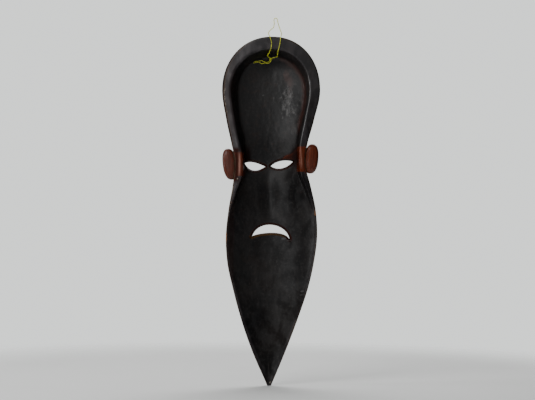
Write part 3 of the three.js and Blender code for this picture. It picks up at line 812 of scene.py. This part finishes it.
def distance_to(points, run):
    """Distance of each point to a closed run, positive inside it."""
    best = np.full(len(points), 1e9)
    inside = np.zeros(len(points), bool)
    for a, b in zip(run, np.roll(run, -1, axis=0)):
        edge = b - a
        t = np.clip(((points - a) @ edge) / (edge @ edge), 0, 1)
        best = np.minimum(best, lengths(points - a - t[:, None] * edge))
        crosses = (a[1] > points[:, 1]) != (b[1] > points[:, 1])
        rise = (points[:, 1] - a[1]) * edge[0] / (edge[1] if edge[1] else 1e-9) + a[0]
        inside ^= crosses & (points[:, 0] < rise)
    return np.where(inside, best, -best)


def rim_stretch(side, low_x, low_down, high_down):
    """Distance inside the stretch of one side between two heights, out from low_x."""
    return np.minimum.reduce([side * xs - low_x, downs - low_down, high_down - downs])


def around(value, middle, reach):
    return bump(np.abs(value - middle) / reach)


def spots(*rows):
    """Soft spots added up: strength, x, down, half width, half height, turn."""
    total = np.zeros(count)
    for strength, x, down, wide, tall, turn in rows:
        across_, along_ = xs - x, downs - down
        cosine, sine = math.cos(turn), math.sin(turn)
        total += strength * np.exp(-(
            ((across_ * cosine + along_ * sine) / wide) ** 2
            + ((along_ * cosine - across_ * sine) / tall) ** 2))
    return total


near_eyes = (downs > 330) & (downs < 450) & (np.abs(xs) < 100)
near_mouth = (downs > 520) & (downs < 650) & (np.abs(xs) < 100)
eye_distance = np.full(count, FAR)
for edge in (left_eye, right_eye):
    eye_distance[near_eyes] = np.maximum(
        eye_distance[near_eyes], distance_to(flat[near_eyes], edge))
mouth_distance = np.full(count, FAR)
mouth_distance[near_mouth] = distance_to(flat[near_mouth], mouth)

# Bare reddish wood: the ears, the rim beside them, a wedge from each eye to the rim, the lids
# and the lips.
RIGHT_WEDGE = np.array([
    (-33, 366), (-41, 358), (-65, 347), (-80, 331), (-92, 326), (-92, 404), (-84, 394),
    (-73, 382), (-64, 372)])
LEFT_WEDGE = np.array([(84, 352), (78, 372), (86, 419), (90, 419), (90, 348)])
bare = np.maximum(rim_stretch(1, 80.5, 348, 419), rim_stretch(-1, 78, 329, 404))
bare = np.where(on_back_or_edge, bare, FAR)
for side, x, down, half_width, half_height, lean in EARS:
    drop = (downs - down) / half_height
    out = (side * xs - x - lean * half_height * drop) / half_width
    lobe = (np.abs(out) ** EAR_POWER + np.abs(drop) ** EAR_POWER) ** (1 / EAR_POWER)
    clear_of_face = side * xs > (107 if side > 0 else 100)
    bare = np.maximum(bare, np.where(clear_of_face, (1.12 - lobe) * half_width, FAR))
right_wedge = distance_to(flat, RIGHT_WEDGE)
for patch in (
        np.where(near_eyes & on_back, right_wedge, FAR),
        np.where(on_back, distance_to(flat, LEFT_WEDGE), FAR),
        np.where(on_back, FAR, eye_distance + 9.5),
        np.where(on_back, FAR, mouth_distance + 12.5)):
    bare = np.maximum(bare, patch)
set_attribute("bare", ramp_in(bare, 12))

# Rubbed brown: along the foot of the wall on the right of the dome and in streaks beside it.
CREASE_HALF, CREASE_RISE = 98, 100
oval = np.hypot(xs / CREASE_HALF, (downs - DOME_CENTRE_DOWN) / CREASE_RISE)
from_crease = np.where(
    downs < DOME_CENTRE_DOWN, np.abs(oval - 1) * CREASE_HALF,
    np.abs(np.abs(xs) - foot_half(downs, -1)))
rubbed = np.exp(-(from_crease / 9) ** 2) * (xs < 0) * smoothstep(downs, 330, 230)
rubbed *= smoothstep(xs, -12, -30)
rubbed += spots(
    (0.9, -44, 118, 12, 26, 0.4), (0.5, -60, 160, 20, 60, 0), (0.35, 0, 300, 60, 60, 0),
    (0.4, -90, 460, 20, 60, 0))
set_share("rubbed", rubbed, back_share)

# The flat of the rim: its own paler matte tone, with painted light on it: paler on the left, where
# the light falls, a painted highlight high on the left, and two darker patches.
tone_and_painted_light = 0.48 + 0.52 * smoothstep(xs, -40, 110)
tone_and_painted_light *= 1 - spots((0.36, 120, 285, 24, 75, 0), (0.16, 80, 50, 34, 26, 0))
tone_and_painted_light += spots((0.17, 126, 105, 24, 48, 0))
set_attribute("rim", smoothstep(depth, 3.6, 2.1) * tone_and_painted_light)

# Deep red-brown, partly paint and partly painted shade: the walls of the holes, red-brown wood
# painted deeper as shade in them; a painted ring round each hole on the back; painted shade in the
# gap between the rim and each ear, where the ear shades it, and on the outer part of the left ear;
# and painted shade on part of the right wedge.
walls = (eye_distance > -5.2) | (mouth_distance > -4.6)
in_hole = walls & (depth > hollow_depth_at(flat) + 0.6)
in_hole &= depth < face_depth_at(flat) + 3
ear_gap_shade = np.maximum(around(xs, 104.5, 9) ** 0.6, 0.85 * around(xs, -101, 5.5))
ear_gap_shade *= around(downs, np.where(xs > 0, 386, 367), 52) ** 0.5
ear_gap_shade += spots((0.8, 106, 341, 15, 8, 0), (0.55, 104, 430, 14, 13, 0)) + 0.2 * (xs > 110)
ring = 0.9 * smoothstep(np.maximum(eye_distance, mouth_distance), -8.5, -5)
wedge_shade = 0.85 * ramp_in(right_wedge, 7) * (xs > -79)
ring_and_shade = np.maximum.reduce([0.95 * np.clip(ear_gap_shade, 0, 1), ring, wedge_shade])
set_attribute("brown_and_shade", np.maximum(in_hole * 1.0, ring_and_shade * on_back))

# The inner corner of the rim on the right catches the light: a painted highlight, paler grey and
# less rough.
corner = smoothstep(turned_left, 0.12, 0.4) * smoothstep(depth, 5, 2.5)
corner *= smoothstep(-xs, 60, 95) * smoothstep(np.abs(downs - 225), 120, 85)
set_share("corner", corner, on_back)

# The rim's outer corner beside each ear: a painted highlight, where the rounded edge catches the
# light.
ear_edge_highlight = around(xs, 95.5, 4.5) * around(downs, 383, 38) ** 0.4
ear_edge_highlight += around(xs, -87.5 - 0.07 * (downs - 335), 4) * around(downs, 362, 36) ** 0.4
set_share("ear_edge_highlight", ear_edge_highlight, on_back)

# The lower hollow is drier and duller than the dome.
dull = 0.42 * smoothstep(downs, 400, 470) + 0.35 * smoothstep(downs, 700, 950)
dull += 0.12 * smoothstep(-xs, 20, 90) * smoothstep(downs, 420, 500)
dull += 0.6 * smoothstep(-xs, 50, 84) * around(downs, 270, 130) ** 0.5
dull += spots(
    (0.45, -82, 440, 38, 60, 0), (0.45, -30, 345, 90, 55, 0), (0.6, -72, 420, 28, 26, 0),
    (0.5, 0, 70, 75, 22, 0))
set_attribute("dull", np.minimum(dull, 0.85) * back_share)

# Wear along the outer edge of the rim. On the left of the dome the band lies a little further in
# and is stronger: there it is a painted highlight of the rounded edge more than wear.
WORN_HALF_LEFT, WORN_HALF_RIGHT = 148.0, 145.0
WORN_POWER = 2.12
WORN_WIDTH = 9
side_of = np.where(xs > 0, 1, -1)
dome_half = np.where(side_of > 0, WORN_HALF_LEFT, WORN_HALF_RIGHT)
dome_radius = ((np.abs(xs) / dome_half) ** WORN_POWER + (np.maximum(
    DOME_CENTRE_DOWN - downs, 0) / DOME_CENTRE_DOWN) ** WORN_POWER) ** (1 / WORN_POWER)
from_edge = np.where(
    downs < DOME_CENTRE_DOWN, (1 - dome_radius) * dome_half,
    outline_half(downs, side_of) - np.abs(xs))
left_of_dome = smoothstep(xs, 60, 110) * smoothstep(downs, 345, 300) * on_back
inset = 5.0 * left_of_dome
edge = np.clip(1 - np.abs(from_edge - inset) / (WORN_WIDTH - inset), 0, 1) * (depth < 24)
# Stronger on the left: high on the dome as a painted highlight, lower down as wear.
edge *= 1 + spots((0.4, 140, 170, 50, 130, 0), (0.4, 118, 490, 25, 60, 0))
set_attribute("edge", edge)

# Near black: painted shade on the wall of the hollow and in the gap beside each ear, two short
# strokes under the mouth, and a darker strip along the outline on the left of the dome.
beside_ear = around(np.abs(xs), 74, 20) * smoothstep(depth, 2.5, 6)
beside_ear *= around(downs, 368, 50) ** 0.5
shade_and_marks = beside_ear + spots((1, -58.5, 613, 2.5, 7, 0.5), (1, 60, 604, 5, 3, -0.3))
shade_and_marks += 0.6 * around(xs, 106, 5) * around(downs, 386, 50) ** 0.5
shade_and_marks += 0.85 * smoothstep(from_edge, 4.6, 2.8) * left_of_dome
set_share("shade_and_marks", shade_and_marks, on_back)

# Chips of orange-brown wood, paler scuffs, light scratches and the worn lip of the mouth.
set_share("orange", spots(
    (1, 134, 606, 4, 26, 0), (1, -134, 527, 4, 12, 0), (0.6, -128, 690, 4, 8, 0),
    (0.5, 117, 500, 4, 16, 0)), 1)
pale = spots(
    (0.8, 116, 456, 5, 34, -0.1), (1, -3, 1038, 3, 6, -0.5), (0.62, 101, 428, 7, 9, 0.5))
pale += 0.74 * around(from_edge, 7, 4) * left_of_dome * around(downs, 165, 110) ** 0.5
set_share("pale", pale, on_back_or_edge)
set_share("scratched", spots(
    (1, -40, 607, 9, 4, 0.1), (1, -55, 612, 9, 2.5, 0.1), (1, -97, 764, 8, 3, 0.2),
    (0.9, -94, 775, 9, 2, 0.2), (0.9, 26, 173, 5, 3, 0.6), (0.8, 12, 190, 3, 3, 0)), on_back)
lip = smoothstep(mouth_distance, -8, -5) * (mouth_distance < 1) * on_back
lip *= downs > 563 + 0.012 * xs ** 2 * (np.abs(xs) < 60)
set_attribute("lip", lip * smoothstep(xs, -52, -36))
# Where the hollow has a gloss: less rough and dimpled, and painted there with grey-white glints,
# which are painted highlights.
set_share("gloss_and_glints", spots(
    (1, -50, 193, 34, 70, 0), (0.35, -20, 640, 50, 70, 0), (0.45, 25, 160, 20, 30, 0)),
    back_share)


# Materials. The sockets of a Mix node for its share and its two colours, and its colour output.
MIX_SOCKETS, MIXED = (0, 6, 7), 2


def feed(value, socket):
    """Links a worked-out value to a socket, or sets a plain one on it."""
    if isinstance(value, Value):
        value.tree.links.new(value.socket, socket)
    else:
        socket.default_value = value if isinstance(value, (int, float)) else (*value, 1)


class Value:
    """A number or colour that shader nodes work out over a surface."""

    def __init__(self, tree, socket):
        self.tree, self.socket = tree, socket

    def math(self, operation, *others):
        made = self.tree.nodes.new("ShaderNodeMath")
        made.operation = operation
        for socket, value in zip(made.inputs, (self, *others)):
            feed(value, socket)
        return Value(self.tree, made.outputs[0])

    def __add__(self, added):
        return self.math("ADD", added)

    def __mul__(self, factor):
        return self.math("MULTIPLY", factor)

    def ramp(self, low, high, to_low=0.0, to_high=1.0):
        made = self.tree.nodes.new("ShaderNodeMapRange")
        made.interpolation_type = "SMOOTHSTEP"
        for name, value in (
                ("Value", self), ("From Min", low), ("From Max", high), ("To Min", to_low),
                ("To Max", to_high)):
            feed(value, made.inputs[name])
        return Value(self.tree, made.outputs[0])


class Surface:
    def __init__(self, name):
        self.material = bpy.data.materials.new(name)
        self.material.use_nodes = True
        self.tree = self.material.node_tree
        self.shader = self.tree.nodes["Principled BSDF"]
        self.place = self.tree.nodes.new("ShaderNodeTexCoord").outputs["Object"]

    def fact(self, name):
        made = self.tree.nodes.new("ShaderNodeAttribute")
        made.attribute_name = name
        return Value(self.tree, made.outputs["Fac"])

    def noise(self, scale, detail=3.0, stretch=(1, 1, 1), shift=0.0, distortion=0.0):
        moved = self.tree.nodes.new("ShaderNodeMapping")
        moved.inputs["Scale"].default_value = stretch
        moved.inputs["Location"].default_value = (shift, shift * 1.7, shift * 0.6)
        self.tree.links.new(self.place, moved.inputs["Vector"])
        made = self.tree.nodes.new("ShaderNodeTexNoise")
        for name, value in (("Scale", scale), ("Detail", detail), ("Distortion", distortion)):
            made.inputs[name].default_value = value
        self.tree.links.new(moved.outputs[0], made.inputs["Vector"])
        return Value(self.tree, made.outputs[0])

    def layers(self, colour, *layers):
        """The colour with more laid over it: share, colour of each layer."""
        for share, over in layers:
            made = self.tree.nodes.new("ShaderNodeMix")
            made.data_type = "RGBA"
            for value, socket in zip((share, colour, over), MIX_SOCKETS):
                feed(value, made.inputs[socket])
            colour = Value(self.tree, made.outputs[MIXED])
        return colour

    def link(self, value, socket):
        feed(value, self.shader.inputs[socket])

    def bump(self, height, reach, strength=1.0):
        made = self.tree.nodes.new("ShaderNodeBump")
        made.inputs["Strength"].default_value = strength
        made.inputs["Distance"].default_value = reach
        feed(height, made.inputs["Height"])
        self.tree.links.new(made.outputs[0], self.shader.inputs["Normal"])


wood = Surface("black_stained_wood")
fact = wood.fact
cloud = wood.noise(9, 4)
fleck = wood.noise(130, 3, shift=3)
grain = wood.noise(60, 4, stretch=(4, 4, 0.22), distortion=0.4, shift=1)
fine_grain = wood.noise(170, 3, stretch=(5, 5, 0.18), shift=7)
smear = wood.noise(34, 4, shift=5, distortion=0.8)
worn_tone = wood.noise(42, 5, stretch=(1, 1, 0.5), shift=9, distortion=0.7)
dimple = wood.noise(95, 2, stretch=(1.2, 1, 0.65), shift=17, distortion=0.3)
clouds = wood.noise(30, 4, stretch=(1, 1, 0.7), shift=13, distortion=0.5).ramp(0.35, 0.65)

# The black stain, with reddish smears, rubbed places, the rim's tone with painted highlights,
# painted glints on the dimples of the gloss patch, and a painted highlight on the rim's right
# inner corner.
damp = fact("dull") * -1.6 + 1.0
rub = (fact("rubbed") + fleck * 0.7 + smear * 0.9 + grain * 0.4).ramp(1.35, 2.0, 0, 0.9)
# The rim's tone: pale mottles that are partly its own wear and partly painted highlights.
rim_tone_and_highlights = wood.layers(
    (0.0150, 0.0128, 0.0145), (worn_tone.ramp(0.36, 0.66), (0.060, 0.052, 0.055)))
# Painted highlights: grey-white glints on the dimples of the gloss patch.
glint = (fact("gloss_and_glints") + dimple * 2.6 + fleck * 0.4).ramp(2.15, 3.1)
stain = wood.layers(
    (0.0042, 0.0040, 0.0044), (cloud.ramp(0.35, 0.7), (0.0085, 0.0068, 0.0064)),
    (grain.ramp(0.5, 0.75, 0, 0.45), (0.012, 0.0085, 0.0072)),
    (fleck.ramp(0.5, 0.7, 0, 0.6), (0.018, 0.0160, 0.0155)),
    (smear.ramp(0.52, 0.7, 0, 0.7) * damp, (0.017, 0.0095, 0.0072)),
    (rub, (0.034, 0.014, 0.011)), (fact("rim") * 0.85, rim_tone_and_highlights),
    # Painted highlights: the glints, and the rim's right inner corner.
    (glint, (0.125, 0.12, 0.117)), (fact("corner"), (0.085, 0.083, 0.084)))

# The bare red wood, and what lies over both: painted shade and marks, painted highlights beside
# the ears, wear, chips, scuffs and scratches.
red = wood.layers(
    (0.075, 0.013, 0.004), (grain.ramp(0.35, 0.68), (0.125, 0.024, 0.008)),
    (fine_grain.ramp(0.52, 0.72, 0, 0.6), (0.040, 0.008, 0.004)))
border = (fact("bare") + fleck * 0.12 + smear * 0.25).ramp(0.63, 0.74)
worn = (fact("edge") + fleck * 0.8 + cloud * 0.9).ramp(1.45, 1.75, 0, 0.85)
chip = (fact("orange") + fleck * 0.7).ramp(0.85, 1.05)
scuff = (fact("pale") + fleck * 1.1).ramp(1.15, 1.35)
scrape = (fact("scratched") + fine_grain * 0.5 + fleck * 0.3).ramp(0.75, 1.15, 0, 0.7)
colour = wood.layers(
    stain, (border, red),
    # Painted highlight on the rim's outer corner beside each ear.
    (fact("ear_edge_highlight") * fine_grain.ramp(0.3, 0.6, 0.5, 1), (0.30, 0.13, 0.09)),
    # Deep red-brown: painted rings and painted shade; near black: painted shade, strokes and the
    # strip by the outline.
    (fact("brown_and_shade"), (0.026, 0.0052, 0.0028)), (fact("shade_and_marks"), (0.0080, 0.0014, 0.0007)),
    (worn, (0.050, 0.030, 0.018)), (chip, (0.20, 0.085, 0.030)), (scuff, (0.22, 0.19, 0.15)),
    (scrape, (0.060, 0.058, 0.060)), (fact("lip") * 0.8, (0.075, 0.038, 0.010)))
wood.link(colour, "Base Color")
gloss = fact("gloss_and_glints") * smear.ramp(0.42, 0.6, 0.10, -0.19)
rough = cloud.ramp(0.3, 0.7, 0.35, 0.45) + gloss + (worn + chip + scuff) * 0.2
rough = rough + fact("brown_and_shade") * 0.3 + border * -0.07 + fact("corner") * -0.12
wood.link(rough, "Roughness")
sheen = (fact("brown_and_shade") + fact("shade_and_marks")).ramp(0, 1, 0.5, 0.1) + border * -0.12
sheen = sheen * (fact("dull") * (clouds * 0.6 + -1.3) + 1.0)
wood.link(sheen.math("MAXIMUM", 0.08), "Specular IOR Level")
height = grain * 0.4 + fine_grain * 0.3 + fleck * 0.5 + scuff * -0.6 + chip * -0.6
height = height + dimple * fact("gloss_and_glints") * 1.6 + clouds * 0.12
wood.bump(height, 0.0006, 0.45)
mask.data.materials.clear()
mask.data.materials.append(wood.material)

yarn = Surface("yellow_string")
shade = yarn.noise(260, 3)
fibre = yarn.noise(1500, 2, shift=2)
# painted light: the loop above the wood is painted paler and more yellow
heights = yarn.tree.nodes.new("ShaderNodeSeparateXYZ")
yarn.tree.links.new(yarn.place, heights.inputs[0])
above_wood = Value(yarn.tree, heights.outputs["Z"]).ramp(-0.062, -0.050)
tint = yarn.layers(
    (0.44, 0.45, 0.014), (shade.ramp(0.35, 0.65), (0.71, 0.71, 0.055)),
    (fibre.ramp(0.55, 0.75, 0, 0.5), (0.25, 0.26, 0.01)),
    (above_wood * shade.ramp(0.3, 0.7, 1.0, 0.8), (0.80, 0.82, 0.004)))
yarn.link(tint, "Base Color")
yarn.link(shade.ramp(0.3, 0.7, 0.5, 0.7), "Roughness")
yarn.bump(fibre, 0.0003, 0.6)
for piece in (string, knot):
    piece.data.materials.append(yarn.material)

# Stage: a plain pale floor that fades into the background, and soft studio light.
FLOOR_Z = -1.1015
FLOOR_RADIUS = 1.7
corners = [
    (FLOOR_RADIUS * math.cos(a), FLOOR_RADIUS * math.sin(a), FLOOR_Z)
    for a in np.linspace(0, 2 * math.pi, 96, endpoint=False)]
floor = mesh_object("floor", corners, [tuple(range(96))])
ground = Surface("pale_floor")
pale_tone = ground.layers((0.70, 0.71, 0.70), (ground.noise(3, 4), (0.76, 0.77, 0.76)))
ground.link(pale_tone, "Base Color")
ground.shader.inputs["Roughness"].default_value = 0.75
centre = ground.tree.nodes.new("ShaderNodeVectorMath")
centre.operation = "LENGTH"
ground.tree.links.new(ground.place, centre.inputs[0])
away = Value(ground.tree, centre.outputs["Value"])
ground.link(away.ramp(1.45, 2.0, 1.0, 0.0), "Alpha")
floor.data.materials.append(ground.material)


def area_light(name, place, aim, size, watts):
    data = bpy.data.lights.new(name, "AREA")
    data.shape = "RECTANGLE"
    data.size, data.size_y = size
    data.energy = watts
    made = new_object(name, data)
    made.location = place
    direction = Vector(aim) - Vector(place)
    made.rotation_mode = "QUATERNION"
    made.rotation_quaternion = direction.to_track_quat("-Z", "Y")


area_light("key", (1.0, 2.85, -0.35), (0, 0, -0.5), (1.2, 1.4), 9)
area_light("high_window", (1.52, 1.69, 1.16), (0, 0, -0.3), (1.2, 1.2), 40)
area_light("left_side", (2.8, 0.45, -0.1), (0, 0, -0.5), (0.5, 1.6), 29)
area_light("overhead", (0.3, -1.3, 1.7), (0, -0.1, -1.1), (2.0, 2.0), 60)
area_light("front_key", (-1.4, -2.2, 1.5), (0, 0, -0.5), (1.4, 1.4), 34)

# The background as the camera sees it, and the softer light that it gives, which comes most
# from in front and behind.
world = bpy.data.worlds.new("studio")
bpy.context.scene.world = world
world.use_nodes = True
sky = world.node_tree
shown = sky.nodes["Background"]
shown.inputs["Color"].default_value = (0.97, 1.0, 0.985, 1)
shown.inputs["Strength"].default_value = 1.25
lit, axes, direction, seen, both = (
    sky.nodes.new("ShaderNode" + kind)
    for kind in ("Background", "SeparateXYZ", "TexCoord", "LightPath", "MixShader"))
depth_of_room = Value(sky, axes.outputs["Y"]).math("ABSOLUTE")
feed(depth_of_room.ramp(0.2, 1.0, 0.05, 0.34), lit.inputs["Strength"])
for source, socket in (
        (direction.outputs["Generated"], axes.inputs[0]),
        (seen.outputs["Is Camera Ray"], both.inputs[0]), (lit.outputs[0], both.inputs[1]),
        (shown.outputs[0], both.inputs[2]),
        (both.outputs[0], sky.nodes["World Output"].inputs["Surface"])):
    sky.links.new(source, socket)
